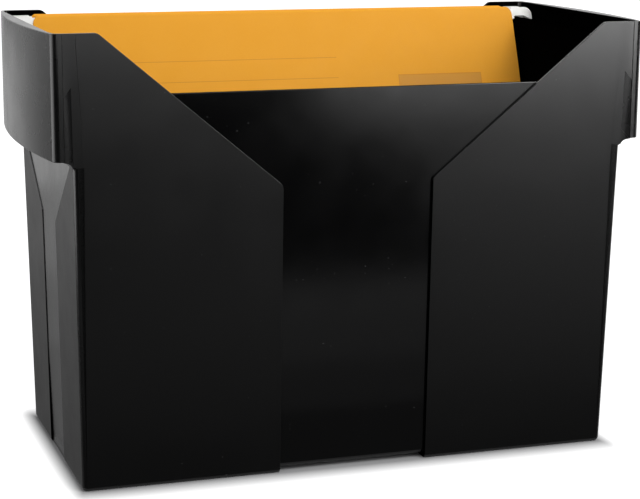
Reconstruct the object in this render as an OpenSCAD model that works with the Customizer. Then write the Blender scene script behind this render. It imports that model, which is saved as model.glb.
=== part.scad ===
// Portable file box for A4 hanging files.
// Two matt end shells lap over a glossy centre cradle. The top edge of each side wall is
// a rail, and one card file hangs on the two rails by its hooks.
// The origin is on the table under the middle of the box. +X is to the right, and the
// front faces -Y.

/* [Box] */
// Height from the table to the rim
box_h = 260; // [235:1:290]
// Depth across the rim, front to back
rim_d = 171.5; // [160:0.5:200]
// Lean of the front and back walls from upright, in degrees
front_draft = 1.785; // [0.5:0.005:2.5]
// Lean of the side walls from upright, in degrees
side_draft = 0.87; // [0.3:0.01:1.5]
// Thickness of the end shells' walls and floor
wall = 2.2; // [1.6:0.1:2.6]
// Radius of the upright outer corners of the body
body_r = 3; // [2.8:0.1:5]

/* [Rails] */
// Distance between the middles of the two rails
rail_span = 330; // [326:0.5:334]
// Drop from the rim to the rails
rail_drop = 9; // [8.5:0.5:14]

/* [Wings] */
// Distance from the middle to a wing's upright edge
wing_x = 45.4; // [35:0.1:60]
// Height of the corner where a wing's upright edge meets its slope
wing_corner_z = 171.7; // [150:0.1:185]
// Distance from the middle to the top end of a wing's slope
wing_top_x = 151; // [140:0.5:155]
// Radius of a wing's corners
wing_corner_r = 5; // [1:0.5:10]

/* [Handles] */
// Height of a handle band
handle_h = 69.5; // [50:0.5:85]
// How far a handle bulges out beyond its corners
bulge = 5.9; // [4:0.1:6.5]
// Radius of a handle's upright corners
handle_r = 4.5; // [3:0.1:6]
// Gap between a hook's tip and the straight inner edge of a handle's top lip
lip_gap = 1.3; // [0.7:0.1:2]
// Width of a handle's top lip at the middle of its bulge
lip_w = 7; // [6.8:0.1:12]
// Concave radius under a handle's ends; the strips that join them to the wings are as wide
under_r = 5.2; // [4:0.1:6]
// How far a handle's ends stand proud of the strips that join them to the wings
end_step = 0.3; // [0.2:0.1:0.5]

/* [Side recess] */
// Half width of the recess below its funnel
recess_half_w = 21; // [15:0.5:26]
// Height where the recess starts to widen
recess_neck_z = 146; // [130:0.5:155]
// Half width of the recess at its top
recess_top_half_w = 72; // [60:0.5:76]
// Height of the top of the recess
recess_top_z = 186; // [175:0.5:188]
// Depth of the recess from its neck upward
recess_depth = 0.5; // [0.3:0.1:0.8]
// Depth of the recess at the table
recess_floor_depth = 1.2; // [0.9:0.1:1.3]
// Height at which the recess reaches its even depth
recess_even_z = 60; // [40:1:90]

/* [Cradle] */
// Height of the cradle's front and back panels
panel_top_z = 225.8; // [205:0.1:235]
// Thickness of the cradle
panel_t = 2.2; // [1.6:0.1:2.6]
// How far a wing laps over the cradle
lap = 18; // [14:0.5:24]
// Outer radius where the cradle's panels turn into its floor
cradle_r = 4; // [3:0.5:6]
// Gap between the cradle and the end shells
cradle_gap = 0.1; // [0.05:0.05:0.2]
// Thickness of the ribs that keep the cradle's edges
keeper_t = 1.8; // [1.2:0.1:2]
// Height of those ribs
keeper_h = 150; // [80:1:155]
// How far a rib's lip reaches behind the cradle
keeper_reach = 6; // [4:0.5:8]
// Length of a floor catch, front to back
catch_l = 16; // [8:1:24]
// Width of a floor catch
catch_w = 7; // [5:0.5:8]
// Distance from the middle to each floor catch, front and back
catch_y = 42; // [30:1:55]

/* [File] */
// Gap between the card's edges and the hooks' notches
card_end_gap = 1.9; // [1.5:0.1:4]
// Thickness of the card
card_t = 0.5; // [0.4:0.1:0.6]
// Height of the lowest fold above the table
fold_z = 14; // [10:1:30]
// Half width of the lowest fold, at the middle of the card
fold_r = 2; // [1.5:0.1:3]
// Gap between the lowest fold and the ribs at the back
fold_gap = 0.5; // [0.3:0.1:4]
// Gap between the back hem and the back wall, at the rails
back_hem_gap = 2.6; // [2.4:0.1:5]
// Distance between the two bars
bar_spacing = 13; // [12:0.5:16]
// Lean of the front hem, bar and hooks from upright, top to the back, in degrees
front_lean = 22; // [14:0.5:24]
// How far the back leaf bows forwards
back_bow = 2.5; // [2:0.1:3]
// Height of the hem that holds a bar, outside
hem_h = 10; // [8.5:0.5:16]
// Length of the flap that closes a hem, inside
hem_flap = 18; // [12:0.5:30]
// Radius of the card's top corners
card_corner_r = 5; // [0.5:0.5:6]

/* [Bars and hooks] */
// How far a hook's tip ends outside the middle of its rail
tip_out = 9.2; // [8:0.1:12]
// Thickness of a hook
hook_t = 2.2; // [1.8:0.1:2.4]
// Height of a hook's top above the rails
hook_top = 6.1; // [5.5:0.1:7]
// Gap between the rails and the hooks' notches
hook_rest_gap = 0.2; // [0.1:0.05:0.3]
// How far a hook's notch reaches inside the middle of its rail
notch_in = 3.6; // [2.5:0.1:4.5]
// How far a hook's notch reaches outside the middle of its rail
notch_out = 3.2; // [2:0.1:4]
// How far a tip reaches below the rail
tip_drop = 2.8; // [2:0.1:5]
// How far a hook's root reaches below the rail
root_drop = 1.8; // [1.5:0.1:3]
// Length of a hook's root inside the hem
root_l = 19; // [14:0.5:30]
// How far the root's top lies below the hook's top, to fit in the hem
root_step = 1; // [0.8:0.1:1.2]
// Gap between the steel bars' ends and the hooks' notches
bar_end_gap = 3.4; // [2.5:0.1:6]
// Height of the steel bars
bar_h = 5.4; // [4.5:0.1:5.6]
// Thickness of the steel bars
bar_t = 1; // [0.8:0.1:1.1]
// Gap between a bar and the slot in its hook
bar_gap = 0.1; // [0.05:0.05:0.15]
// Gap between a hook and the hem around it
hem_gap = 0.1; // [0.05:0.05:0.2]

/* [Hidden] */
$fn = 64;

// Flat faces that are hulled need only coarse corners, and the bulge's large circle fine ones
hull_fn = 32;
bulge_fn = 720;
// Cutting shapes run this far past what they cut
past = 5;
// Thickness of the slices that a hull is drawn between
slice = 0.01;
// How far a joined piece stays inside the walls that it meets, so that no two faces coincide
tuck = 0.02;
// The strips reach this far below the handle band, for the same reason
blend_lap = 0.3;
// Their feet start this far inside the body's rounded corners
foot_in = 1.2;

rail_z = box_h - rail_drop;
handle_z = box_h - handle_h;
cradle_z = wall + cradle_gap;
cradle_floor_top = cradle_z + panel_t;
// Distances in Y across the leaning walls
wall_y = wall / cos(front_draft);
panel_y = panel_t / cos(front_draft);
cradle_gap_y = cradle_gap / cos(front_draft);
cradle_inset = wall_y + cradle_gap_y;
// Slope of a wing's upper edge, and how far a lap lowers that line
wing_slope = (box_h - wing_corner_z) / (wing_top_x - wing_x);
lap_drop = lap * sqrt(1 + wing_slope * wing_slope);
// Distances from the middle to a hook's tip, its notch, the lip and the handle's outside
tip_x = rail_span / 2 + tip_out;
notch_x = rail_span / 2 - notch_in;
notch_w = notch_in + notch_out;
lip_x = tip_x + lip_gap;
handle_x = lip_x + lip_w;
// Where the upright ends of a handle begin, and the height at which a strip gets that far
end_x = half_w(handle_z) + under_r;
blend_z = handle_z - blend_lap;
// The bulge's radius and centre in plan, and the centres of the handle's corners
corner_y = rim_d / 2 - handle_r;
bulge_r = (corner_y * corner_y + bulge * bulge) / (2 * bulge);
bulge_x = handle_x - bulge_r;
corner_x = bulge_x + sqrt(pow(bulge_r - handle_r, 2) - corner_y * corner_y);
// The hem: its inner half width, and the heights that it covers
hem_in = hook_t / 2 + hem_gap;
hem_mid = hem_in + card_t / 2;
hook_top_z = rail_z + hook_top;
hem_turn_z = hook_top_z - root_step;
hem_foot_z = hem_turn_z - hem_h;
// Roof of the hooks' notches, where a leaning hem and its hooks rock on the rails
roof_z = rail_z + hook_rest_gap;
card_w = 2 * (notch_x - card_end_gap);
// The steel bars
bar_l = 2 * (notch_x - bar_end_gap);
bar_z = rail_z + (hook_top - root_step - root_drop) / 2;
// Radii of a hook's corners
root_r = 0.6;
notch_r = 0.4;
tip_foot_r = 0.6;
tip_top_r = 5;
// The gap between the two leaves at the lowest fold
leaf_gap = 0.3;
// The gap between the card's side edges and the hooks' steps
card_side_gap = 0.3;
fold_top_z = fold_z + fold_r + card_t / 2;
leaf_steps = 28;
blend_steps = 12;
fillet_steps = 8;
turn_steps = 10;

shell_colour = [0.10, 0.10, 0.11];
cradle_colour = [0.04, 0.04, 0.045];
card_colour = [0.90, 0.63, 0.19];
hook_colour = [0.94, 0.94, 0.92];
steel_colour = [0.62, 0.63, 0.65];

// Half the outer width and half the outer depth of the body at a height
function half_w(z) = (rail_span + wall) / 2 + (z - rail_z) * tan(side_draft);
function half_d(z) = rim_d / 2 - (box_h - z) * tan(front_draft);

// Places of the file in Y: it hangs close to the back wall
keeper_y = (wall + panel_t + keeper_t + 2 * cradle_gap) / cos(front_draft);
fold_y = half_d(fold_top_z) - keeper_y - fold_gap - card_t / 2 - fold_r;
back_bar_y = half_d(rail_z) - wall_y - back_hem_gap - card_t - hem_in;
front_bar_y = back_bar_y - bar_spacing;

function unit(v) = v / norm(v);

// Points of an arc about a centre, from p to q the short way round
function arc(centre, p, q, steps = 6) =
  let (
    r = norm(p - centre),
    start = atan2(p[1] - centre[1], p[0] - centre[0]),
    end = atan2(q[1] - centre[1], q[0] - centre[0]),
    turn = (end - start + 540) % 360 - 180
  )
  [for (i = [0:steps]) centre + r * [cos(start + turn * i / steps), sin(start + turn * i / steps)]];

// The corner at b between a and c, rounded to radius r
function corner(a, b, c, r) =
  let (
    u = unit(a - b),
    w = unit(c - b),
    half = acos(u * w) / 2,
    reach = r / tan(half)
  )
  r == 0 ? [b] : arc(b + unit(u + w) * r / sin(half), b + u * reach, b + w * reach);

// An outline of [x, y, radius] corners as plain points
function outline(c) =
  let (
    n = len(c),
    p = [for (v = c) [v[0], v[1]]]
  )
  [for (i = [0:n - 1]) each corner(p[(i + n - 1) % n], p[i], p[(i + 1) % n], c[i][2])];

// Stands a drawing of X and Z up and makes it deep in Y, centred on y = 0
module deep_in_y(depth) {
  rotate([90, 0, 0])
    linear_extrude(height = depth, center = true)
      children();
}

// Stands a drawing of Y and Z up and makes it wide in X, centred on x = 0
module wide_in_x(width) {
  rotate([90, 0, 90])
    linear_extrude(height = width, center = true)
      children();
}

// Draws its children on the front wall and again on the back wall
module front_and_back() {
  children();
  mirror([0, 1, 0])
    children();
}

// The tapered block that fills the body, drawn in by inset, from z0 to the rim
module body_block(inset, z0, z1, r) {
  hull()
    for (sx = [-1, 1], sy = [-1, 1]) {
      translate([sx * (half_w(z0 + r) - inset - r), sy * (half_d(z0 + r) - inset - r), z0 + r])
        sphere(r = r, $fn = hull_fn);
      translate([sx * (half_w(z1) - inset - r), sy * (half_d(z1) - inset - r), z1 - slice])
        cylinder(r = r, h = slice, $fn = hull_fn);
    }
}

module body_walls() {
  difference() {
    body_block(0, 0, box_h, body_r);
    body_block(wall, wall, box_h + past, body_r - wall);
  }
}

// What stays of the front and back walls and the floor on the right-hand side
module wing_area() {
  deep_in_y(rim_d + 2 * past)
    polygon(outline([
      [wing_x, -past, 0],
      [wing_x, wing_corner_z, wing_corner_r],
      [wing_top_x, box_h, wing_corner_r],
      [handle_x + past, box_h, 0],
      [handle_x + past, -past, 0]
    ]));
}

// The handle's outline in plan, drawn in by inset
module handle_plan(inset) {
  r = bulge_r - inset;
  tangent_y = r * corner_y / (bulge_r - handle_r);
  half = rim_d / 2 - inset;
  intersection() {
    translate([end_x - inset, -half])
      square([handle_x, 2 * half]);
    union() {
      intersection() {
        translate([bulge_x, 0])
          circle(r = r, $fn = bulge_fn);
        translate([0, -tangent_y])
          square([handle_x, 2 * tangent_y]);
      }
      translate([0, -half])
        square([corner_x, 2 * half]);
      for (s = [-1, 1])
        translate([corner_x, s * corner_y])
          circle(r = handle_r - inset);
    }
  }
}

// The curved band that a hand grips from below
module handle_band() {
  translate([0, 0, handle_z])
    linear_extrude(height = handle_h)
      difference() {
        handle_plan(0);
        handle_plan(wall);
      }
}

// The flat crescent on top of the band
module handle_lip() {
  translate([0, 0, box_h - wall])
    linear_extrude(height = wall)
      difference() {
        handle_plan(0);
        translate([0, wall - rim_d / 2])
          square([lip_x, rim_d - 2 * wall]);
      }
}

// How far a strip reaches from the body's corner towards the handle, as a share. It widens in
// a concave curve under the handle and then keeps its full width up to the rim.
function blend_reach(z) =
  z >= blend_z ? 1 : 1 - sqrt(1 - pow((z - blend_z + under_r) / under_r, 2));

// Points of a strip's section at a height, from the wing's face round to its inner side
function blend_section(z) =
  let (
    corner_out = [half_w(z), tuck - half_d(z)],
    corner_in = [half_w(z), wall - tuck - half_d(z)],
    end_out = [end_x + tuck, end_step - rim_d / 2],
    end_in = [end_x + tuck, wall - tuck - rim_d / 2],
    section = [
      corner_out - [body_r, 0],
      corner_out,
      corner_out + blend_reach(z) * (end_out - corner_out),
      corner_in + blend_reach(z) * (end_in - corner_in),
      corner_in,
      corner_in - [body_r, 0]
    ]
  )
  [for (p = section) [p[0], p[1], z]];

// The same section drawn in until it lies inside the rounded corner of the body
function blend_foot(z) =
  let (
    section = blend_section(z),
    draw_in = foot_in * [[0, 1, 0], [-1, 1, 0], [-1, 1, 0], [-1, 0, 0], [-1, 0, 0], [0, 0, 0]]
  )
  [for (i = [0:len(section) - 1]) section[i] + draw_in[i]];

// The twisted strip that brings a leaning wing out to the upright end of the handle band
module wing_blend() {
  sections = [
    blend_foot(blend_z - under_r * (1 - 1 / fillet_steps)),
    for (i = [3:fillet_steps]) blend_section(blend_z - under_r * (1 - i / fillet_steps)),
    for (i = [1:blend_steps]) blend_section(blend_z + (box_h - blend_z) * i / blend_steps)
  ];
  n = len(sections[0]);
  last = len(sections) - 1;
  polyhedron(
    [for (section = sections) each section],
    concat(
      [[for (i = [0:n - 1]) i]],
      [[for (i = [n - 1:-1:0]) last * n + i]],
      [for (k = [1:last], i = [0:n - 1]) [(k - 1) * n + i, k * n + i, (k - 1) * n + (i + 1) % n]],
      [for (k = [1:last], i = [0:n - 1]) [k * n + i, k * n + (i + 1) % n, (k - 1) * n + (i + 1) % n]]
    )
  );
}

// The shallow funnel-shaped recess in the side wall, as a cutter
module side_recess() {
  face_lean = atan((half_w(recess_even_z) - recess_depth - half_w(0) + recess_floor_depth) / recess_even_z);
  intersection() {
    wide_in_x(2 * handle_x)
      polygon([
        [-recess_half_w, -past],
        [-recess_half_w, recess_neck_z],
        [-recess_top_half_w, recess_top_z],
        [recess_top_half_w, recess_top_z],
        [recess_half_w, recess_neck_z],
        [recess_half_w, -past]
      ]);
    union() {
      translate([half_w(0) - recess_depth, -rim_d / 2, 0])
        rotate([0, side_draft, 0])
          translate([0, 0, -past])
            cube([past, rim_d, box_h]);
      translate([half_w(0) - recess_floor_depth, -rim_d / 2, 0])
        rotate([0, face_lean, 0])
          translate([0, 0, -past])
            cube([past, rim_d, recess_even_z + past]);
    }
  }
}

// The upright L-shaped rib inside a wing that holds one edge of the cradle
module keeper_rib() {
  back_y = wall + cradle_gap + panel_t + cradle_gap;
  web_x = wing_x + lap + cradle_gap;
  translate([0, -half_d(0), 0])
    rotate([front_draft, 0, 0]) {
      translate([web_x, wall - slice, wall - slice])
        cube([keeper_t, back_y + keeper_t - wall + slice, keeper_h]);
      translate([web_x - keeper_reach, back_y, cradle_floor_top + cradle_r])
        cube([keeper_reach + keeper_t, keeper_t, keeper_h - cradle_floor_top - cradle_r]);
    }
}

// The low catches on an end shell's floor, and the windows they fill in the cradle
module floor_catches(clearance, height) {
  for (s = [-1, 1])
    translate([wing_x + lap / 2, s * catch_y, wall + height / 2])
      cube([catch_w + 2 * clearance, catch_l + 2 * clearance, height], center = true);
}

module right_end_shell() {
  color(shell_colour)
    difference() {
      union() {
        intersection() {
          body_walls();
          wing_area();
        }
        handle_band();
        handle_lip();
        front_and_back() {
          wing_blend();
          keeper_rib();
        }
        floor_catches(0, panel_t);
      }
      // The side wall stops at the rail
      translate([half_w(rail_z) - 2 * wall, wall - 2 * tuck - rim_d / 2, rail_z])
        cube([3 * wall, rim_d - 2 * (wall - 2 * tuck), box_h]);
      side_recess();
    }
}

module left_end_shell() {
  mirror([1, 0, 0])
    right_end_shell();
}

// Cross-section in Y and Z of a tapered tray that is open at the top
module tray_section(inset, z0, r) {
  foot = half_d(z0) - inset;
  top = half_d(box_h) - inset;
  polygon(outline([
    [-foot, z0, r],
    [foot, z0, r],
    [top, box_h, 0],
    [-top, box_h, 0]
  ]));
}

// The glossy centre piece: front panel, floor and back panel in one
module centre_cradle() {
  low_x = wing_x + lap;
  bend_z = wing_corner_z + lap * wing_slope - lap_drop;
  top_x = wing_x + (panel_top_z - wing_corner_z + lap_drop) / wing_slope;
  color(cradle_colour)
    difference() {
      intersection() {
        wide_in_x(2 * top_x)
          difference() {
            tray_section(cradle_inset, cradle_z, cradle_r);
            tray_section(cradle_inset + panel_y, cradle_floor_top, cradle_r - panel_t);
          }
        deep_in_y(rim_d)
          polygon([
            [-low_x, 0],
            [-low_x, bend_z],
            [-top_x, panel_top_z],
            [top_x, panel_top_z],
            [low_x, bend_z],
            [low_x, 0]
          ]);
      }
      floor_catches(cradle_gap, 2 * panel_t);
      mirror([1, 0, 0])
        floor_catches(cradle_gap, 2 * panel_t);
    }
}

// A point of an upright hem or hook in Y and Z, rocked on the rails to a lean
function leaned(p, bar_y, lean) =
  let (v = [p[0] - bar_y, p[1] - roof_z])
  [bar_y + v[0] * cos(lean) + v[1] * sin(lean),
   roof_z + hook_t / 2 * sin(lean) + v[1] * cos(lean) - v[0] * sin(lean)];

// Middle line of a leaf from its foot to its hem, which bows forwards by bow
function leaf_line(foot, top, bow) =
  [for (i = [0:leaf_steps])
    let (s = i / leaf_steps)
    foot + (top - foot) * s - [bow * sin(180 * s), 0]];

// Middle line of a hem: its turn over the bar and the flap on the inner side
function hem_line(y, outer_side, lean) =
  concat(
    [for (i = [0:turn_steps])
      leaned([y + outer_side * hem_mid * cos(180 * i / turn_steps),
              hem_turn_z + hem_mid * sin(180 * i / turn_steps)], y, lean)],
    [leaned([y - outer_side * hem_mid, hem_turn_z - hem_flap], y, lean)]
  );

// Middle line of the lowest fold, from its front end round to its back end
function fold_line() =
  [for (i = [0:turn_steps - 1])
    [fold_y - fold_r * cos(180 * i / turn_steps),
     fold_top_z - fold_r * sin(180 * i / turn_steps)]];

// A strip of even thickness along a line, as an outline
function ribbon(line, thickness) =
  let (
    last = len(line) - 1,
    side = [
      for (i = [0:last])
        let (d = unit(line[min(i + 1, last)] - line[max(i - 1, 0)]))
        [-d[1], d[0]] * thickness / 2
    ]
  )
  concat(
    [for (i = [0:last]) line[i] + side[i]],
    [for (i = [last:-1:0]) line[i] - side[i]]
  );

// A sheet of card along a line in Y and Z
module card_sheet(line) {
  top_z = max([for (p = line) p[1]]) + card_t / 2;
  color(card_colour)
    intersection() {
      wide_in_x(card_w)
        polygon(ribbon(line, card_t));
      // The card's top corners are rounded off
      deep_in_y(rim_d)
        polygon(outline([
          [-card_w / 2, 0, 0],
          [card_w / 2, 0, 0],
          [card_w / 2, top_z, card_corner_r],
          [-card_w / 2, top_z, card_corner_r]
        ]));
    }
}

// The front leaf runs on straight into its leaning hem, which settles how far it bows
module front_leaf() {
  foot = [fold_y - fold_r, fold_top_z + leaf_gap];
  top = leaned([front_bar_y - hem_mid, hem_foot_z], front_bar_y, front_lean);
  bow = ((top[1] - foot[1]) * tan(front_lean) - (top[0] - foot[0])) / PI;
  card_sheet(concat(leaf_line(foot, top, bow), hem_line(front_bar_y, -1, front_lean)));
}

// The back leaf carries the lowest fold
module back_leaf() {
  foot = [fold_y + fold_r, fold_top_z];
  top = [back_bar_y + hem_mid, hem_foot_z];
  card_sheet(concat(fold_line(), leaf_line(foot, top, back_bow), hem_line(back_bar_y, 1, 0)));
}

// Hangs an upright bar or hook, drawn at y = 0, on the rails with a lean
module hang(bar_y, lean) {
  translate([0, bar_y, roof_z + hook_t / 2 * sin(lean)])
    rotate([-lean, 0, 0])
      translate([0, 0, -roof_z])
        children();
}

// A steel strip along a hem
module bar() {
  color(steel_colour)
    translate([0, 0, bar_z])
      cube([bar_l, bar_t, bar_h], center = true);
}

// The right-hand hook of a bar: a flat root in the hem, a notch over the rail and a tip
module hook() {
  root_x = bar_l / 2 - root_l;
  step_x = card_w / 2 + card_side_gap;
  color(hook_colour)
    difference() {
      deep_in_y(hook_t)
        polygon(outline([
          [root_x, rail_z - root_drop, root_r],
          [notch_x, rail_z - root_drop, root_r],
          [notch_x, roof_z, notch_r],
          [notch_x + notch_w, roof_z, notch_r],
          [tip_x, rail_z - tip_drop, tip_foot_r],
          [tip_x, hook_top_z, tip_top_r],
          [step_x, hook_top_z, notch_r],
          [step_x, hem_turn_z, 0],
          [root_x, hem_turn_z, root_r]
        ]));
      translate([0, 0, bar_z])
        cube([bar_l + 2 * bar_gap, bar_t + 2 * bar_gap, bar_h + 2 * bar_gap], center = true);
    }
}

module front_bar() {
  hang(front_bar_y, front_lean)
    bar();
}

module back_bar() {
  hang(back_bar_y, 0)
    bar();
}

module front_right_hook() {
  hang(front_bar_y, front_lean)
    hook();
}

module back_right_hook() {
  hang(back_bar_y, 0)
    hook();
}

module front_left_hook() {
  mirror([1, 0, 0])
    front_right_hook();
}

module back_left_hook() {
  mirror([1, 0, 0])
    back_right_hook();
}

left_end_shell();
right_end_shell();
centre_cradle();
back_leaf();
back_bar();
back_left_hook();
back_right_hook();
front_leaf();
front_bar();
front_left_hook();
front_right_hook();
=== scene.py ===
# %% [markdown]
# # A portable box for hanging files
#
# The object is a black plastic box, open at the top, with one orange card file hanging in
# it. Two matt end shells lap over a glossy centre piece. The top edges of the side walls
# are rails, and the file's white hooks rest on them.
#
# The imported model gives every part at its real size. This script never moves those parts.
# It gives each one the surface that the real one has, and builds the card sheets and the
# rounded plastic mouldings anew where plain solids would look too sharp. Lengths are in
# metres. The front faces -Y and the floor is at z = 0.

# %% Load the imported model
from math import cos, pi, radians, sin

import bmesh
import bpy
from mathutils import Matrix, Vector


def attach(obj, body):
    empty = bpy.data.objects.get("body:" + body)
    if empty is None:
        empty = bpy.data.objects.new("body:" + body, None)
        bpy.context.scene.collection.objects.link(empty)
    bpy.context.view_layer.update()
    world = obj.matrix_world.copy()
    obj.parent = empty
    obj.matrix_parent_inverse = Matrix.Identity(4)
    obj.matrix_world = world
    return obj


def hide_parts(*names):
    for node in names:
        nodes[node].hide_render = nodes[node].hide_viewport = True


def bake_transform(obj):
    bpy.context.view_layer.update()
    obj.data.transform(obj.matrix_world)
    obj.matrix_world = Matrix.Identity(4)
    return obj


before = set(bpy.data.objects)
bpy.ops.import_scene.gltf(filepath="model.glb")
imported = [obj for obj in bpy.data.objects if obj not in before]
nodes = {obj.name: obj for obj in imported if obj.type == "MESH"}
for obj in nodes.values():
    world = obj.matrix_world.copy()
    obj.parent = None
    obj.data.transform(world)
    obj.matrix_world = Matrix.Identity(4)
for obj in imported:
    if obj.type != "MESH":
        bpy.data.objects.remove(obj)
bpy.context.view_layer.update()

MM = 0.001

# %% [markdown]
# ## The camera
#
# A picture of a box with straight edges holds enough to find the camera: its place, where
# it points and its focal length. They were solved from sixteen corners of the box and
# rounded. Blender looks down its own -Z axis, so the camera's matrix has the right-hand
# direction, the up direction and the backward direction as its first three columns.

# %% Place the camera
PHOTO_WIDTH = 640
FOCAL_PIXELS = 1834.25
SENSOR_WIDTH = 36
CAMERA_PLACE = Vector((-0.35166, -1.05692, 0.34678))
CAMERA_YAW = radians(18.6145)
CAMERA_PITCH = radians(11.722)
CAMERA_ROLL = radians(0.388)


def camera_directions(yaw, pitch, roll):
    """The camera's right, up and forward directions."""
    forward = Vector((sin(yaw) * cos(pitch), cos(yaw) * cos(pitch), -sin(pitch)))
    level_right = Vector((cos(yaw), -sin(yaw), 0))
    level_up = level_right.cross(forward)
    right = level_right * cos(roll) + level_up * sin(roll)
    return right, right.cross(forward), forward


def make_camera():
    data = bpy.data.cameras.new("camera")
    data.sensor_fit = "HORIZONTAL"
    data.sensor_width = SENSOR_WIDTH
    data.lens = FOCAL_PIXELS * SENSOR_WIDTH / PHOTO_WIDTH
    camera = bpy.data.objects.new("camera", data)
    right, up, forward = camera_directions(CAMERA_YAW, CAMERA_PITCH, CAMERA_ROLL)
    turn = Matrix((right, up, -forward)).transposed()
    camera.matrix_world = Matrix.LocRotScale(CAMERA_PLACE, turn, None)
    bpy.context.scene.collection.objects.link(camera)
    bpy.context.scene.camera = camera
    print("camera lens", round(data.lens, 2), "mm")


make_camera()
bpy.context.scene.view_settings.view_transform = "Standard"

# %% [markdown]
# ## Helpers for node trees
#
# Materials, the world and Geometry Nodes are all trees of nodes. Three small functions keep
# them short: `add` makes a node, fills its inputs with values or links, and returns it.
# `calc` does the same for one step of arithmetic and returns the result's socket, and
# `new_material` returns an empty material with its tree.


# %% Node helpers
def add(tree, kind, inputs=None, **settings):
    """A new node. Each input is a plain value or the socket to link to it."""
    node = tree.nodes.new(kind)
    for name, value in settings.items():
        setattr(node, name, value)
    for key, value in (inputs or {}).items():
        if isinstance(value, bpy.types.NodeSocket):
            tree.links.new(value, node.inputs[key])
        else:
            node.inputs[key].default_value = value
    return node


def calc(tree, operation, *values, clamp=False):
    """One step of arithmetic on sockets or numbers, as a socket."""
    node = add(tree, "ShaderNodeMath", dict(enumerate(values)), operation=operation)
    node.use_clamp = clamp
    return node.outputs[0]


def new_material(name):
    """An empty material and its node tree."""
    material = bpy.data.materials.new(name)
    material.use_nodes = True
    material.node_tree.nodes.clear()
    return material, material.node_tree


# %% [markdown]
# ## Floor and world
#
# The object stands on a white sweep. The floor is a pale surface that takes the object's
# shadow. A little emission that only the camera and mirror-like rays see lifts it to white,
# and the world does the same beyond it. Neither lift lights the object. Close to the box's
# foot the floor's lift fades away: the real shadow shows there, and the fade paints more
# shadow round the foot. The painted shadow is narrower at the two ends, so the distance
# counts more steeply there.

# %% Floor and world
WHITE = (1, 1, 1, 1)
FLOOR_HALF = 8
FLOOR_COLOUR = (0.36, 0.36, 0.365, 1)
FLOOR_LIFT = 0.92
SHADOW_REACH = 20 * MM
FOOT_HALF = (162.3 * MM, 77.7 * MM, 1)
END_STEEPNESS = (2.2, 1, 1)
WORLD_LIGHT = 0.70


def between(tree, value, low, high, from_low=0.0, from_high=1.0):
    """Maps a value from one range to another and holds it inside."""
    inputs = {
        "Value": value, "From Min": from_low, "From Max": from_high, "To Min": low, "To Max": high,
    }
    return add(tree, "ShaderNodeMapRange", inputs).outputs[0]


def seen_directly(tree):
    """1 for rays from the camera, a mirror or glass, and 0 for rays that carry light."""
    path = add(tree, "ShaderNodeLightPath").outputs
    direct = calc(tree, "ADD", path["Is Camera Ray"], path["Is Glossy Ray"])
    return calc(tree, "ADD", direct, path["Is Transmission Ray"], clamp=True)


def vector_step(tree, operation, first, *second):
    """One step of arithmetic on vectors, as a socket."""
    inputs = dict(enumerate((first, *second)))
    return add(tree, "ShaderNodeVectorMath", inputs, operation=operation).outputs[0]


def way_from_foot(tree):
    """The distance from the rectangle that the box stands on."""
    place = add(tree, "ShaderNodeTexCoord").outputs["Object"]
    side = vector_step(tree, "ABSOLUTE", place)
    past = vector_step(tree, "SUBTRACT", side, FOOT_HALF)
    outside = vector_step(tree, "MAXIMUM", past, (0, 0, 0))
    steeper = vector_step(tree, "MULTIPLY", outside, END_STEEPNESS)
    return add(tree, "ShaderNodeVectorMath", {0: steeper}, operation="LENGTH").outputs["Value"]


# %% [markdown]
# The world has two strengths. The lower one lights the object, and the higher one is what
# the camera and the mirror-like rays see. The floor could be plain white too, but then it
# would throw so much light up that the black walls turn grey. So its colour stays darker
# and its lift does the rest.


# %% The white room
def make_world():
    world = bpy.data.worlds.new("white_room")
    world.use_nodes = True
    tree = world.node_tree
    tree.nodes.clear()
    lit = add(tree, "ShaderNodeBackground", {"Color": WHITE, "Strength": WORLD_LIGHT})
    shown = add(tree, "ShaderNodeBackground", {"Color": WHITE, "Strength": 1})
    choice = {0: seen_directly(tree), 1: lit.outputs[0], 2: shown.outputs[0]}
    mix = add(tree, "ShaderNodeMixShader", choice)
    add(tree, "ShaderNodeOutputWorld", {"Surface": mix.outputs[0]})
    bpy.context.scene.world = world


def floor_material():
    material, tree = new_material("sweep_white")
    diffuse = add(tree, "ShaderNodeBsdfDiffuse", {"Color": FLOOR_COLOUR})
    # The lift fades to nothing at the foot, which paints a shadow round it.
    lift = between(tree, way_from_foot(tree), 0, FLOOR_LIFT, 0, SHADOW_REACH)
    strength = calc(tree, "MULTIPLY", seen_directly(tree), lift)
    glow = add(tree, "ShaderNodeEmission", {"Color": WHITE, "Strength": strength})
    both = add(tree, "ShaderNodeAddShader", {0: diffuse.outputs[0], 1: glow.outputs[0]})
    add(tree, "ShaderNodeOutputMaterial", {"Surface": both.outputs[0]})
    return material


def rectangle(name, corners, material):
    """A flat four-cornered sheet that is part of the studio and not of the object."""
    mesh = bpy.data.meshes.new(name)
    mesh.from_pydata(corners, [], [(0, 1, 2, 3)])
    mesh.materials.append(material)
    sheet = bpy.data.objects.new(name, mesh)
    bpy.context.scene.collection.objects.link(sheet)
    return sheet


make_world()
half = FLOOR_HALF
floor_corners = [(-half, -half, 0), (half, -half, 0), (half, half, 0), (-half, half, 0)]
rectangle("floor", floor_corners, floor_material())
print("floor", 2 * half, "m wide, lifted to white from", SHADOW_REACH, "m off the foot")

# %% [markdown]
# ## Boards for the reflections
#
# Black plastic looks black only where it mirrors something dark. A photographer stands
# black boards, called flags, round such an object, and lets grey or white reach it only
# where a face or an edge should show. These boards are seen by mirror-like rays alone, so
# they neither light nor shade the scene, and no camera sees them: every grey or white one
# is a painted reflection, and every black one a painted dark reflection. A board stands
# upright between two points of the plan, or it lies on the floor, each layer a little above
# the last. A wedge is a floor board given by bearings and distances from the left wall, where
# bearing 0 points to the back.

# %% Board makers
BOARD_FAR = 4.5
BOARD_TOP = 3.0
FLOOR_STEP = 1 * MM
BASE_LAYER, PATCH_LAYER, SHEEN_LAYER = 1, 2, 3


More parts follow.
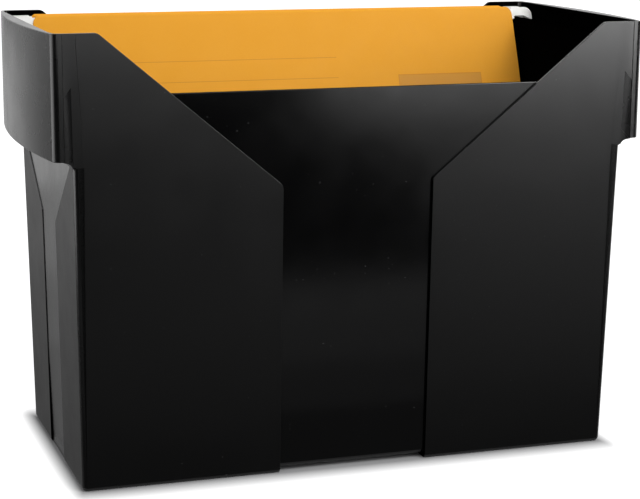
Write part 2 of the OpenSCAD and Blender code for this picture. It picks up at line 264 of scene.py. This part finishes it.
def board(name, corners, strength):
    """A painted reflection that only reflections see: 0 is black, 1 is white, and more paints a
    bright lamp.
    """
    material, tree = new_material(name)
    glow = add(tree, "ShaderNodeEmission", {"Color": WHITE, "Strength": strength})
    add(tree, "ShaderNodeOutputMaterial", {"Surface": glow.outputs[0]})
    sheet = rectangle(name, corners, material)
    sheet.visible_camera = False
    sheet.visible_diffuse = False
    sheet.visible_shadow = False
    sheet.visible_transmission = False


def flat_board(name, plan, height, strength):
    """Lies level at a height, with its corners given in the plan."""
    board(name, [(x, y, height) for x, y in plan], strength)


def floor_board(name, low_x, high_x, low_y, high_y, layer, strength):
    plan = [(low_x, low_y), (high_x, low_y), (high_x, high_y), (low_x, high_y)]
    flat_board(name, plan, layer * FLOOR_STEP, strength)


def upright_board(name, first, last, bottom, top, strength):
    """Stands between two points of the plan, from one height to another."""
    corners = [(*first, bottom), (*last, bottom), (*last, top), (*first, top)]
    board(name, corners, strength)


def floor_wedge(name, first, last, near, far, strength):
    """Lies on the floor beside the left wall, between two bearings and two distances."""
    plan = []
    for bearing, reach in ((first, near), (last, near), (last, far), (first, far)):
        turn = radians(bearing)
        plan.append((LEFT_WALL_X + reach * sin(turn), reach * cos(turn)))
    flat_board(name, plan, PATCH_LAYER * FLOOR_STEP, strength)


# %% [markdown]
# The box's front mirrors the floor before it. Boards paint that mirrored floor black from
# half a metre on. Nearer to the box they paint it a dark grey that fades towards the foot,
# and this paints a little tone into the wings and the panel. Black boards stand in front
# and at both sides, and one hangs over the front half.

# %% Dark boards
FRONT_Y = -78.5 * MM
LEFT_WALL_X = -164 * MM
BLACK_FROM_Y = -0.46
LEFT_GREY = 0.2
FRONT_STRIPS = (  # from y, to y, strength
    (BLACK_FROM_Y, -0.36, 0.26),
    (-0.36, -0.26, 0.20),
    (-0.26, -0.17, 0.12),
    (-0.17, FRONT_Y, 0.06),
)
DARK_WALLS = (  # name, first point, last point
    ("front_wall_black", (-BOARD_FAR, -BOARD_FAR), (BOARD_FAR, -BOARD_FAR)),
    ("left_wall_black", (-BOARD_FAR, -BOARD_FAR), (-BOARD_FAR, -1.6)),
    ("right_wall_black", (BOARD_FAR, -BOARD_FAR), (BOARD_FAR, 1.5)),
)
far = BOARD_FAR
floor_board("front_floor_black", -far, far, -far, BLACK_FROM_Y, BASE_LAYER, 0)
for number, (first_y, last_y, strength) in enumerate(FRONT_STRIPS):
    floor_board(f"front_floor_grey_{number}", -far, far, first_y, last_y, BASE_LAYER, strength)
floor_board("left_floor_grey", -far, LEFT_WALL_X, FRONT_Y, far, BASE_LAYER, LEFT_GREY)
for name, first, last in DARK_WALLS:
    upright_board(name, first, last, 0, BOARD_TOP, 0)
flat_board("roof_black", [(-far, -far), (far, -far), (far, 0), (-far, 0)], BOARD_TOP, 0)
print(len(FRONT_STRIPS), "grey strips,", len(DARK_WALLS), "black walls, a black floor and a roof")

# %% [markdown]
# The left wall and the bulge of the left handle mirror the floor behind them on the left.
# Boards paint that reflection lighter with distance, then black towards the side, and a
# white board next to that paints the thin bright highlight down the handle's corner. In
# front, a white patch far out on the floor paints the glossy panel's sheen and a grey one
# lifts the right wing. Two white boards close before the box's top paint the wings' fade
# from grey to black.

# %% Light boards
WEDGE_FAR = 3
NEAR_BEARINGS = (-25, -11)
NEAR_WEDGES = (  # from distance, to distance, strength
    (0.02, 0.25, 0.28),
    (0.25, 0.50, 0.42),
    (0.50, 0.95, 0.72),
)
FAR_WEDGES = (  # name, from bearing, to bearing, from distance, strength
    ("left_wedge_far", -17, 8, 0.95, 0.75),
    ("left_wedge_middle", -24, -17, 0.95, 0.45),
    ("left_wedge_side", -31, -24, 0.95, 0.22),
    ("left_wedge_black", -100, -31, 0.30, 0),
)
UPRIGHTS = (  # name, first point, last point, bottom, top, strength
    # The first board here paints the highlight down the left handle's corner.
    ("left_painted_highlight", (-0.62, 0.38), (-0.80, -0.16), 0, 0.7, 2.8),
    ("left_top_black", (-1.2, -1.6), (-1.2, 1.2), 0.8, BOARD_TOP, 0),
    ("right_wing_sheen", (0.15, -0.26), (0.33, -0.26), 0.245, 0.42, 15),
    ("left_wing_sheen", (-0.25, -0.26), (0.15, -0.26), 0.245, 0.42, 2.6),
)
FLOOR_PATCHES = (  # name, corners, layer, strength
    ("panel_sheen", [(0.35, -1.15), (0.72, -1.15), (1.5, -2.5), (0.8, -2.5)], SHEEN_LAYER, 2.2),
    ("right_floor_grey", [(0.2, -0.3), (0.9, -0.3), (1.4, -1.4), (0.5, -1.4)], PATCH_LAYER, 0.35),
)
for number, (near, reach, strength) in enumerate(NEAR_WEDGES):
    floor_wedge(f"left_wedge_{number}", *NEAR_BEARINGS, near, reach, strength)
for name, first, last, near, strength in FAR_WEDGES:
    floor_wedge(name, first, last, near, WEDGE_FAR, strength)
for values in UPRIGHTS:
    upright_board(*values)
for name, corners, layer, strength in FLOOR_PATCHES:
    flat_board(name, corners, layer * FLOOR_STEP, strength)
print(len(NEAR_WEDGES) + len(FAR_WEDGES), "wedges on the floor at the left")
print(len(UPRIGHTS), "upright boards and", len(FLOOR_PATCHES), "floor patches")

# %% [markdown]
# ## Lamps
#
# One low soft lamp in front, to the right, lights the right-hand side. The lamps are hidden
# from mirror-like rays, so the sheen of the right-hand corner is painted by the boards. A
# wide lamp above the camera lights the card evenly, and the world's even light does the
# rest. A soft lamp is an area light, and its power is in watts over the whole area.


# %% Lamps
def soft_lamp(name, place, aim, width, height, power):
    data = bpy.data.lights.new(name, "AREA")
    data.shape = "RECTANGLE"
    data.size = width
    data.size_y = height
    data.energy = power
    lamp = bpy.data.objects.new(name, data)
    lamp.location = place
    lamp.rotation_euler = (Vector(aim) - Vector(place)).to_track_quat("-Z", "Y").to_euler()
    lamp.visible_camera = False
    lamp.visible_glossy = False
    bpy.context.scene.collection.objects.link(lamp)
    print(name, power, "W")


BOX_MIDDLE = (0, 0, 0.14)
soft_lamp("right_softbox", (1.25, -1.75, 0.85), BOX_MIDDLE, 1.0, 1.0, 10)
soft_lamp("front_fill", (0.9, -1.8, 2.2), BOX_MIDDLE, 1.8, 1.2, 40)

# %% [markdown]
# ## The plastics
#
# A mould's surface decides how its part looks. The end shells' flat walls come from a
# spark-eroded mould: a fine even grain that scatters light. Their handles and narrow faces
# come from smoother steel, the shallow recess in each side from smoother steel still, and
# the centre piece from polished steel. The faces inside the box are rougher, and they are
# also given a darker black with no gloss, which is painted shade. All share one recipe and
# differ in colour, roughness, gloss and grain.


# %% Plastic recipe
def finish_material(tree, inputs):
    """Adds the surface shader, with these inputs, and the output."""
    shader = add(tree, "ShaderNodeBsdfPrincipled", inputs)
    add(tree, "ShaderNodeOutputMaterial", {"Surface": shader.outputs[0]})


def noise(tree, size, detail=2, roughness=0.5, stretch=(1, 1, 1)):
    """Noise on the object's own coordinates, whose blobs are about this size in metres."""
    place = add(tree, "ShaderNodeTexCoord").outputs["Object"]
    scaled = add(tree, "ShaderNodeMapping", {"Vector": place, "Scale": stretch}).outputs[0]
    inputs = {"Vector": scaled, "Scale": 1 / size, "Detail": detail, "Roughness": roughness}
    return add(tree, "ShaderNodeTexNoise", inputs).outputs["Fac"]


def blend_colours(tree, share, first, second):
    """Mixes two colours or sockets by a share from 0 to 1."""
    node = add(tree, "ShaderNodeMix", {"Factor": share}, data_type="RGBA")
    for socket, colour in ((node.inputs[6], first), (node.inputs[7], second)):
        if isinstance(colour, bpy.types.NodeSocket):
            tree.links.new(colour, socket)
        else:
            socket.default_value = colour
    return node.outputs[2]


# %% [markdown]
# The grain is a bump and not geometry, because it is finer than a tenth of a millimetre.
# The gloss changes slowly over the wall, as it does where a mould has worn, and here and
# there a pale speck of dust lies on the black.

# %% The black plastics
BLACK = (0.0018, 0.0018, 0.0019, 1)
# A darker black for the inside of the box: painted shade.
INSIDE_SHADE_BLACK = (0.0008, 0.0008, 0.0008, 1)
DUST = (0.035, 0.035, 0.035, 1)
PATCH_SIZE = 25 * MM
SPECK_SIZE = 1.4 * MM
SPECK_LIMITS = (0.86, 0.89)


def black_plastic(name, rough_low, rough_high, grain_size, grain_depth, gloss=0.5, colour=BLACK):
    """Black plastic with an even grain, slow changes of gloss and a few pale specks of dust."""
    material, tree = new_material(name)
    grain = noise(tree, grain_size, detail=3, roughness=0.6)
    patches = noise(tree, PATCH_SIZE, detail=4)
    specks = between(tree, noise(tree, SPECK_SIZE, detail=0), 0, 1, *SPECK_LIMITS)
    roughness = between(tree, patches, rough_low, rough_high, 0.35, 0.65)
    bump = add(tree, "ShaderNodeBump", {"Height": grain, "Strength": 1, "Distance": grain_depth})
    finish_material(tree, {
        "Base Color": blend_colours(tree, specks, colour, DUST),
        "Roughness": roughness,
        "Specular IOR Level": gloss,
        "Normal": bump.outputs[0],
    })
    return material


shell_materials = [
    black_plastic("grained_black", 0.42, 0.48, 0.45 * MM, 0.04 * MM),
    black_plastic("satin_black", 0.25, 0.29, 0.60 * MM, 0.01 * MM),
    black_plastic("smooth_black", 0.22, 0.26, 0.60 * MM, 0.004 * MM),
    # Rough, and with the darker black and no gloss: painted shade inside the box.
    black_plastic("dull_black_painted_shade", 0.60, 0.70, 0.80 * MM, 0.02 * MM, gloss=0, colour=INSIDE_SHADE_BLACK),
]
GRAINED, SATIN, SMOOTH, DULL_SHADED = range(4)
gloss_black = black_plastic("gloss_black", 0.13, 0.17, 9 * MM, 0.01 * MM)
cradle_materials = [gloss_black, shell_materials[DULL_SHADED]]
POLISHED, CRADLE_DULL_SHADED = 0, 1
print(len(shell_materials) + 1, "black plastics")

# %% [markdown]
# ## The three mouldings
#
# A moulded edge is never sharp: it has a small radius, and that radius is what catches a
# thin line of light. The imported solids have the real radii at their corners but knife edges
# elsewhere. So each moulding is a copy of its solid, with doubled points merged, flat
# regions joined back into single faces, and every sharp edge rounded by a Bevel modifier.
#
# Some steps in the mould are only a fraction of a millimetre high. A full radius would eat
# them up, so each edge has a bevel weight that narrows its radius where a face beside it is
# narrow. A Weighted Normal modifier then lets the large faces set the shading, so that the
# flat walls mirror their surroundings without a ripple.

# %% Rounded copies of the mouldings
MERGE = 0.001 * MM
SAME_PLANE = radians(0.5)
SHARP = radians(33)
NARROW_SHARE = 0.35


def weigh_edges(shape, radius):
    """Gives every sharp edge a bevel weight that fits the faces beside it."""
    weight = shape.edges.layers.float.new("bevel_weight_edge")
    for edge in shape.edges:
        if len(edge.link_faces) == 2 and edge.calc_face_angle() > SHARP:
            narrowest = min(face.calc_area() / edge.calc_length() for face in edge.link_faces)
            edge[weight] = min(1, NARROW_SHARE * narrowest / radius)


def moulding(node, body, slot, radius, materials, choose=None):
    """A rounded copy of a CAD node, which it replaces. choose gives a face's material number."""
    mesh = nodes[node].data.copy()
    mesh.materials.clear()
    for material in materials:
        mesh.materials.append(material)
    shape = bmesh.new()
    shape.from_mesh(mesh)
    bmesh.ops.remove_doubles(shape, verts=shape.verts, dist=MERGE)
    bmesh.ops.dissolve_limit(shape, angle_limit=SAME_PLANE, verts=shape.verts, edges=shape.edges)
    weigh_edges(shape, radius)
    for face in shape.faces:
        face.smooth = True
        face.material_index = choose(face) if choose else 0
    shape.to_mesh(mesh)
    shape.free()
    piece = bpy.data.objects.new(node + "_moulding", mesh)
    bpy.context.scene.collection.objects.link(piece)
    bevel = piece.modifiers.new("rounded_edges", "BEVEL")
    bevel.width = radius
    bevel.segments = 3
    bevel.limit_method = "WEIGHT"
    bevel.use_clamp_overlap = False
    normals = piece.modifiers.new("flat_walls", "WEIGHTED_NORMAL")
    normals.mode = "FACE_AREA"
    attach(piece, body)
    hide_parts(node)
    print(piece.name, len(mesh.polygons), "faces before rounding")


# %% [markdown]
# The finish of a face follows from where it is and which way it looks. A face that looks
# towards the middle of the box, and the top of each rail, gets the rough black with painted
# shade. The walls are grained and the handles satin. The recess lies half a millimetre behind
# the side wall, whose distance from the middle grows with height, because the walls lean
# outwards so that the part comes out of its mould.

# %% The finish of each face
FLAT = 0.99
RAIL_HALF_SPAN = 166.1 * MM
RAIL_Z = 251 * MM
SIDE_DRAFT = radians(0.87)
RECESS = 0.5 * MM


def wall_x(z):
    """How far the side wall's outer face is from the middle at this height."""
    return RAIL_HALF_SPAN + (z - RAIL_Z) * sin(SIDE_DRAFT)


def looks_inwards(face, middle):
    """True for a flat face of the mould's core, or for the top of a rail."""
    if face.normal.z > FLAT:
        return middle.z < RAIL_Z + MM
    across = middle.x * face.normal.x
    along = middle.y * face.normal.y
    return (abs(face.normal.x) > FLAT and across < 0) or (abs(face.normal.y) > FLAT and along < 0)


def shell_finish(face):
    middle = face.calc_center_median()
    if looks_inwards(face, middle):
        return DULL_SHADED
    if abs(face.normal.y) > FLAT:
        return GRAINED
    if abs(face.normal.x) > FLAT and abs(middle.x) < wall_x(middle.z) + RECESS / 2:
        recessed = abs(middle.x) < wall_x(middle.z) - RECESS / 2
        return SMOOTH if recessed else GRAINED
    return SATIN


def cradle_finish(face):
    return CRADLE_DULL_SHADED if looks_inwards(face, face.calc_center_median()) else POLISHED


EDGE_RADIUS = 0.4 * MM
shell_looks = (EDGE_RADIUS, shell_materials, shell_finish)
for side in ("left", "right"):
    moulding(side + "_end_shell", "box", "matt_black_plastic", *shell_looks)
cradle_looks = (EDGE_RADIUS, cradle_materials, cradle_finish)
moulding("centre_cradle", "box", "gloss_black_plastic", *cradle_looks)

# %% [markdown]
# ## The hooks and bars
#
# Each bar is a flat strip of bright steel with a white plastic hook pressed on either end.
# The hooks are small mouldings with sharp stamped outlines, so their edges get a radius of
# only 0.15 mm. Their plastic is slightly cloudy, so its colour and gloss change slowly from
# place to place. The bars hide in the card's hems, and only their finish is set here.
# Rolled steel has long fine lines along the strip, which come from noise that is stretched
# fifty times in X.

# %% Hooks and bars
HOOK_EDGE_RADIUS = 0.15 * MM
WHITE_PLASTIC = (0.86, 0.86, 0.84, 1)
WORN_WHITE = (0.78, 0.78, 0.75, 1)
STEEL = (0.55, 0.56, 0.58, 1)
DARK_STEEL = (0.42, 0.43, 0.45, 1)


def white_plastic():
    material, tree = new_material("white_hook_plastic")
    cloud = between(tree, noise(tree, 6 * MM, detail=3), 0, 1, 0.4, 0.7)
    grain = noise(tree, 0.3 * MM, detail=2)
    bump = add(tree, "ShaderNodeBump", {"Height": grain, "Strength": 1, "Distance": 0.006 * MM})
    finish_material(tree, {
        "Base Color": blend_colours(tree, cloud, WHITE_PLASTIC, WORN_WHITE),
        "Roughness": between(tree, cloud, 0.35, 0.45),
        "Normal": bump.outputs[0],
    })
    return material


def rolled_steel():
    material, tree = new_material("rolled_steel")
    lines = noise(tree, 0.5 * MM, detail=3, stretch=(0.02, 1, 1))
    bump = add(tree, "ShaderNodeBump", {"Height": lines, "Strength": 1, "Distance": 0.004 * MM})
    finish_material(tree, {
        "Base Color": blend_colours(tree, lines, STEEL, DARK_STEEL),
        "Metallic": 1,
        "Roughness": between(tree, lines, 0.22, 0.38),
        "Normal": bump.outputs[0],
    })
    return material


hook_white = white_plastic()
bar_steel = rolled_steel()
for end in ("back", "front"):
    for side in ("left", "right"):
        moulding(f"{end}_{side}_hook", "file_" + end, "white_plastic", HOOK_EDGE_RADIUS, [hook_white])
    for slot in nodes[end + "_bar"].material_slots:
        slot.material = bar_steel

# %% [markdown]
# ## The card
#
# The folder is thin dyed card with short fibres in it. Its colour varies a little from
# place to place, the fibres show as fine streaks, and the surface is not glossy. The front
# is printed in a slightly darker ink with two ruled lines to write on and a plain tinted
# box. Near the fold the card has two pressed score lines, where it can be creased again to
# take a thicker file. The print reads the leaf's own UV map, in which u is the distance
# across and v the distance up the sheet, so it stays in place when the sheet bends.

# %% Card colours and print
CARD = (0.775, 0.335, 0.018, 1)
PALE_FIBRE = (0.815, 0.38, 0.030, 1)
DEEP_CARD = (0.70, 0.29, 0.022, 1)
INK = (0.56, 0.215, 0.018, 1)
TINT = (0.60, 0.27, 0.035, 1)
RULES = (228.5 * MM, 216 * MM)
RULE_HALF = 0.2 * MM
RULE_ENDS = (-125 * MM, 33 * MM)
BOX_ENDS = (74 * MM, 132 * MM)
BOX_HEIGHTS = (203 * MM, 216.8 * MM)
BOX_BORDER = 0.6 * MM
RULE_INK, BORDER_INK = 0.8, 0.9
SCORES = (24 * MM, 31 * MM)
SCORE_HALF = 0.35 * MM
SCORE_DEPTH = 4  # in steps of the fibres' relief
FIBRE_RELIEF = 0.03 * MM
CLOUD_SIZE = 18 * MM
CLOUD_SHARE = 0.18
FIBRE_SIZE = 0.35 * MM
FIBRE_SHARE = 0.5
FIBRE_STRETCH = (0.22, 1, 1)


def inside(tree, value, low, high, soft=0.08 * MM):
    """1 where a value lies between two limits, with a soft step at each."""
    above = between(tree, value, 0, 1, low - soft, low + soft)
    below = between(tree, value, 1, 0, high - soft, high + soft)
    return calc(tree, "MULTIPLY", above, below)


def box_print(tree, across, up, border):
    """The tinted box, drawn in by its border."""
    wide = inside(tree, across, BOX_ENDS[0] + border, BOX_ENDS[1] - border)
    high = inside(tree, up, BOX_HEIGHTS[0] + border, BOX_HEIGHTS[1] - border)
    return calc(tree, "MULTIPLY", wide, high)


# %% [markdown]
# One recipe makes both cards, with and without the print. Each layer is blended over the
# one before: clouds, fibres, ruled lines, the box's border and its tint. The score lines
# are pressed in, so they only change the relief.


# %% Card recipe
def card_material(name, printed):
    material, tree = new_material(name)
    uv = add(tree, "ShaderNodeUVMap", uv_map="UVMap").outputs[0]
    spot = add(tree, "ShaderNodeSeparateXYZ", {0: uv}).outputs
    across, up = spot["X"], spot["Y"]
    cloud_inputs = {"Vector": uv, "Scale": 1 / CLOUD_SIZE, "Detail": 5, "Roughness": 0.6}
    cloud = add(tree, "ShaderNodeTexNoise", cloud_inputs).outputs["Fac"]
    long_way = add(tree, "ShaderNodeMapping", {"Vector": uv, "Scale": FIBRE_STRETCH}).outputs[0]
    fibre_inputs = {"Vector": long_way, "Scale": 1 / FIBRE_SIZE, "Detail": 3, "Roughness": 0.65}
    fibre = add(tree, "ShaderNodeTexNoise", fibre_inputs).outputs["Fac"]
    clouds = between(tree, cloud, 0, CLOUD_SHARE, 0.4, 0.7)
    colour = blend_colours(tree, clouds, CARD, DEEP_CARD)
    streaks = between(tree, fibre, 0, FIBRE_SHARE, 0.5, 0.8)
    colour = blend_colours(tree, streaks, colour, PALE_FIBRE)
    if printed:
        lines = [inside(tree, up, z - RULE_HALF, z + RULE_HALF) for z in RULES]
        rules = calc(tree, "MULTIPLY", calc(tree, "ADD", *lines), inside(tree, across, *RULE_ENDS))
        border = calc(tree, "MULTIPLY", box_print(tree, across, up, 0), BORDER_INK)
        colour = blend_colours(tree, calc(tree, "MULTIPLY", rules, RULE_INK), colour, INK)
        colour = blend_colours(tree, border, colour, INK)
        colour = blend_colours(tree, box_print(tree, across, up, BOX_BORDER), colour, TINT)
    scores = [inside(tree, up, z - SCORE_HALF, z + SCORE_HALF, 0.2 * MM) for z in SCORES]
    pressed = calc(tree, "MULTIPLY", calc(tree, "ADD", *scores), -SCORE_DEPTH)
    height = calc(tree, "ADD", fibre, pressed)
    bump = add(tree, "ShaderNodeBump", {"Height": height, "Strength": 1, "Distance": FIBRE_RELIEF})
    finish_material(tree, {
        "Base Color": colour,
        "Roughness": between(tree, cloud, 0.68, 0.80, 0.3, 0.7),
        "Specular IOR Level": 0.25,
        "Normal": bump.outputs[0],
    })
    return material


plain_card = card_material("orange_card_plain", printed=False)
printed_card = card_material("orange_card_printed", printed=True)
print("ruled lines at", [round(z / MM, 1) for z in RULES], "mm up the front leaf")

# %% [markdown]
# ## The shape of a leaf
#
# Seen from its end, each leaf is one line that follows a rule: the back leaf starts with
# the half round of the fold, both rise in a gentle bow to the bar, and each then goes up
# past its bar, turns over it and comes down again as the hem's flap. That line is drawn
# out across the box's width. It could be modelled by hand, but a rule is shorter and can
# be changed, so it is a tree of Geometry Nodes: a grid whose rows are shared out along the
# line, bent into place by arithmetic, and narrowed at the top to round the corners.
#
# The front leaf is held open by what would be papers, so its hem leans forward with it,
# and its tangent runs into the hem without a crease.

# %% Rows and sizes of a leaf
FOLD_ROWS = 12
LEAF_ROWS = 48
RISE_ROWS = 8
TURN_ROWS = 12
FLAP_ROWS = 8
COLUMNS = 48
LEAF_SIZES = (
    "Width", "Corner Radius", "Foot Y", "Foot Z", "Top Y", "Top Z", "Bow", "Fold Radius",
    "Fold Rows", "Lean", "Side", "Hem Radius", "Hem Rise", "Hem Flap", "Highest",
)


def total(tree, *values):
    """The sum of several sockets or numbers."""
    result = values[0]
    for value in values[1:]:
        result = calc(tree, "ADD", result, value)
    return result


def product(tree, *values):
    """The product of several sockets or numbers."""
    result = values[0]
    for value in values[1:]:
        result = calc(tree, "MULTIPLY", result, value)
    return result


# %% [markdown]
# Every row of the grid has a number. Counted from its own first row, each stretch of the
# line gets a share from 0 to 1: the fold, the leaf, the rise past the bar, the turn over it
# and the flap. Adding what each stretch contributes gives the row's place. The same sum
# taken along the sheet tells how far up the flat card the row is, which the print needs.


# %% The line of a leaf
def leaf_line(tree, size, row):
    """The place of a row along the line, as the sockets y, z and the way up the sheet."""
    def share(first, count):
        return calc(tree, "DIVIDE", calc(tree, "SUBTRACT", row, first), count, clamp=True)

    start = size["Fold Rows"]
    fold = calc(tree, "MULTIPLY", share(0, start), pi)
    leaf = share(start, LEAF_ROWS)
    rise = share(calc(tree, "ADD", start, LEAF_ROWS), RISE_ROWS)
    turn_start = calc(tree, "ADD", start, LEAF_ROWS + RISE_ROWS)
    turn = calc(tree, "MULTIPLY", share(turn_start, TURN_ROWS), pi)
    flap = share(calc(tree, "ADD", turn_start, TURN_ROWS), FLAP_ROWS)

    hem_radius = calc(tree, "MULTIPLY", size["Side"], size["Hem Radius"])
    hem_across = product(tree, hem_radius, calc(tree, "SUBTRACT", calc(tree, "COSINE", turn), 1))
    hem_up = total(
        tree,
        product(tree, size["Hem Rise"], rise),
        product(tree, size["Hem Radius"], calc(tree, "SINE", turn)),
        product(tree, size["Hem Flap"], flap, -1),
    )
    lean_cos = calc(tree, "COSINE", size["Lean"])
    lean_sin = calc(tree, "SINE", size["Lean"])

    leaf_z = product(tree, calc(tree, "SUBTRACT", size["Top Z"], size["Foot Z"]), leaf)
    y = total(
        tree,
        size["Foot Y"],
        product(tree, calc(tree, "SUBTRACT", size["Top Y"], size["Foot Y"]), leaf),
        product(tree, size["Bow"], calc(tree, "SINE", calc(tree, "MULTIPLY", leaf, pi)), -1),
        product(tree, size["Fold Radius"], calc(tree, "ADD", calc(tree, "COSINE", fold), 1), -1),
        product(tree, hem_across, lean_cos),
        product(tree, hem_up, lean_sin),
    )
    z = total(
        tree,
        size["Foot Z"],
        leaf_z,
        product(tree, size["Fold Radius"], calc(tree, "SINE", fold), -1),
        product(tree, hem_up, lean_cos),
        product(tree, hem_across, lean_sin, -1),
    )
    up_sheet = total(
        tree,
        size["Foot Z"],
        leaf_z,
        product(tree, size["Fold Radius"], calc(tree, "SUBTRACT", fold, pi)),
        product(tree, size["Hem Rise"], rise),
        product(tree, size["Hem Radius"], turn),
        product(tree, size["Hem Flap"], flap),
    )
    return y, z, up_sheet


def half_width(tree, size, z):
    """Half the sheet's width at this height, which shrinks along an arc at the top corners."""
    radius = size["Corner Radius"]
    corner_foot = calc(tree, "SUBTRACT", size["Highest"], radius)
    past = calc(tree, "MAXIMUM", calc(tree, "SUBTRACT", z, corner_foot), 0)
    square = calc(tree, "SUBTRACT", product(tree, radius, radius), product(tree, past, past))
    straight = calc(tree, "SUBTRACT", calc(tree, "MULTIPLY", size["Width"], 0.5), radius)
    return calc(tree, "ADD", straight, calc(tree, "SQRT", calc(tree, "MAXIMUM", square, 0)))


# %% [markdown]
# The tree itself takes the sizes as named inputs, makes the grid, stores the distances on
# the sheet as a UV map, and sets each point's place.


# %% The leaf tree
def make_leaf_tree():
    tree = bpy.data.node_groups.new("card_leaf", "GeometryNodeTree")
    for name in LEAF_SIZES:
        tree.interface.new_socket(name, in_out="INPUT", socket_type="NodeSocketFloat")
    tree.interface.new_socket("Card", in_out="INPUT", socket_type="NodeSocketMaterial")
    tree.interface.new_socket("Leaf", in_out="OUTPUT", socket_type="NodeSocketGeometry")
    size = add(tree, "NodeGroupInput").outputs
    rows = calc(tree, "ADD", size["Fold Rows"], LEAF_ROWS + RISE_ROWS + TURN_ROWS + FLAP_ROWS)
    points = calc(tree, "ADD", rows, 1)
    grid = add(tree, "GeometryNodeMeshGrid", {
        "Size X": 2, "Size Y": 1, "Vertices X": COLUMNS + 1, "Vertices Y": points,
    })
    position = add(tree, "GeometryNodeInputPosition").outputs[0]
    spot = add(tree, "ShaderNodeSeparateXYZ", {0: position}).outputs
    row = calc(tree, "MULTIPLY", calc(tree, "ADD", spot["Y"], 0.5), rows)
    y, z, up_sheet = leaf_line(tree, size, row)
    x = calc(tree, "MULTIPLY", spot["X"], half_width(tree, size, z))
    uv = add(tree, "ShaderNodeCombineXYZ", {"X": x, "Y": up_sheet}).outputs[0]
    named = add(tree, "GeometryNodeStoreNamedAttribute", {
        "Geometry": grid.outputs["Mesh"], "Name": "UVMap", "Value": uv,
    }, data_type="FLOAT2", domain="CORNER")
    place = add(tree, "ShaderNodeCombineXYZ", {"X": x, "Y": y, "Z": z}).outputs[0]
    bent = add(tree, "GeometryNodeSetPosition", {"Geometry": named.outputs[0], "Position": place})
    real = add(tree, "GeometryNodeRealizeInstances", {"Geometry": bent.outputs[0]})
    inputs = {"Geometry": real.outputs[0], "Material": size["Card"]}
    coloured = add(tree, "GeometryNodeSetMaterial", inputs)
    add(tree, "NodeGroupOutput", {"Leaf": coloured.outputs[0]})
    return tree


leaf_tree = make_leaf_tree()
print("leaf tree of", len(leaf_tree.nodes), "nodes")

# %% [markdown]
# ## The two leaves
#
# The sizes are those of the imported model. The tree's result is made a plain mesh, and
# Solidify gives it the card's thickness, half to each side. Solidify can give the second
# side another material, so only the outer face of the front leaf carries the print.
#
# On the real folder both leaves are one sheet, joined at the fold. The front leaf's hem
# moves with the front bar, while its foot stays with the back leaf. Here the front leaf is
# only baked into place and follows neither body.

# %% Make the leaves
CARD_THICKNESS = 0.5 * MM
SHEET_SIZES = {
    "Width": 319 * MM, "Corner Radius": 5 * MM, "Hem Radius": 1.45 * MM,
    "Hem Rise": 10 * MM, "Hem Flap": 18 * MM,
}
BACK_SIZES = {
    "Foot Y": 71.00 * MM, "Foot Z": 16.25 * MM, "Top Y": 80.42 * MM, "Top Z": 246.1 * MM,
    "Bow": 2.5 * MM, "Fold Radius": 2 * MM, "Fold Rows": FOLD_ROWS, "Lean": 0, "Side": 1,
    "Highest": 257.8 * MM,
}
FRONT_SIZES = {
    "Foot Y": 67.00 * MM, "Foot Z": 16.55 * MM, "Top Y": 62.71 * MM, "Top Z": 247.43 * MM,
    "Bow": 31.06 * MM, "Fold Radius": 0, "Fold Rows": 0, "Lean": radians(22), "Side": -1,
    "Highest": 257.98 * MM,
}
CREASE = radians(40)


def plain_mesh(piece):
    """The piece with its modifiers worked into a plain mesh."""
    depsgraph = bpy.context.evaluated_depsgraph_get()
    made = piece.evaluated_get(depsgraph)
    mesh = bpy.data.meshes.new_from_object(made, preserve_all_data_layers=True, depsgraph=depsgraph)
    piece.modifiers.clear()
    piece.data = mesh
    return mesh


def card_leaf(name, node, sizes, outer_card):
    """One leaf of the folder, which replaces its CAD solid."""
    piece = bpy.data.objects.new(name, bpy.data.meshes.new(name))
    bpy.context.scene.collection.objects.link(piece)
    shape = piece.modifiers.new("leaf", "NODES")
    shape.node_group = leaf_tree
    values = {**SHEET_SIZES, **sizes, "Card": outer_card}
    for socket in leaf_tree.interface.items_tree:
        if socket.in_out == "INPUT":
            shape[socket.identifier] = values[socket.name]
    mesh = plain_mesh(piece)
    mesh.materials.append(plain_card)
    wall = piece.modifiers.new("card_thickness", "SOLIDIFY")
    wall.thickness = CARD_THICKNESS
    wall.offset = 0
    wall.use_even_offset = True
    wall.material_offset = 1
    wall.material_offset_rim = 1
    mesh = plain_mesh(piece)
    mesh.shade_smooth()
    mesh.set_sharp_from_angle(angle=CREASE)
    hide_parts(node)
    top = max(point.co.z for point in mesh.vertices)
    print(name, len(mesh.polygons), "faces, up to z", round(top / MM, 2), "mm")
    return piece


back_sheet = card_leaf("card_back_leaf", "back_leaf", BACK_SIZES, plain_card)
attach(back_sheet, "file_back")
front_sheet = card_leaf("card_front_leaf", "front_leaf", FRONT_SIZES, printed_card)
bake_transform(front_sheet)
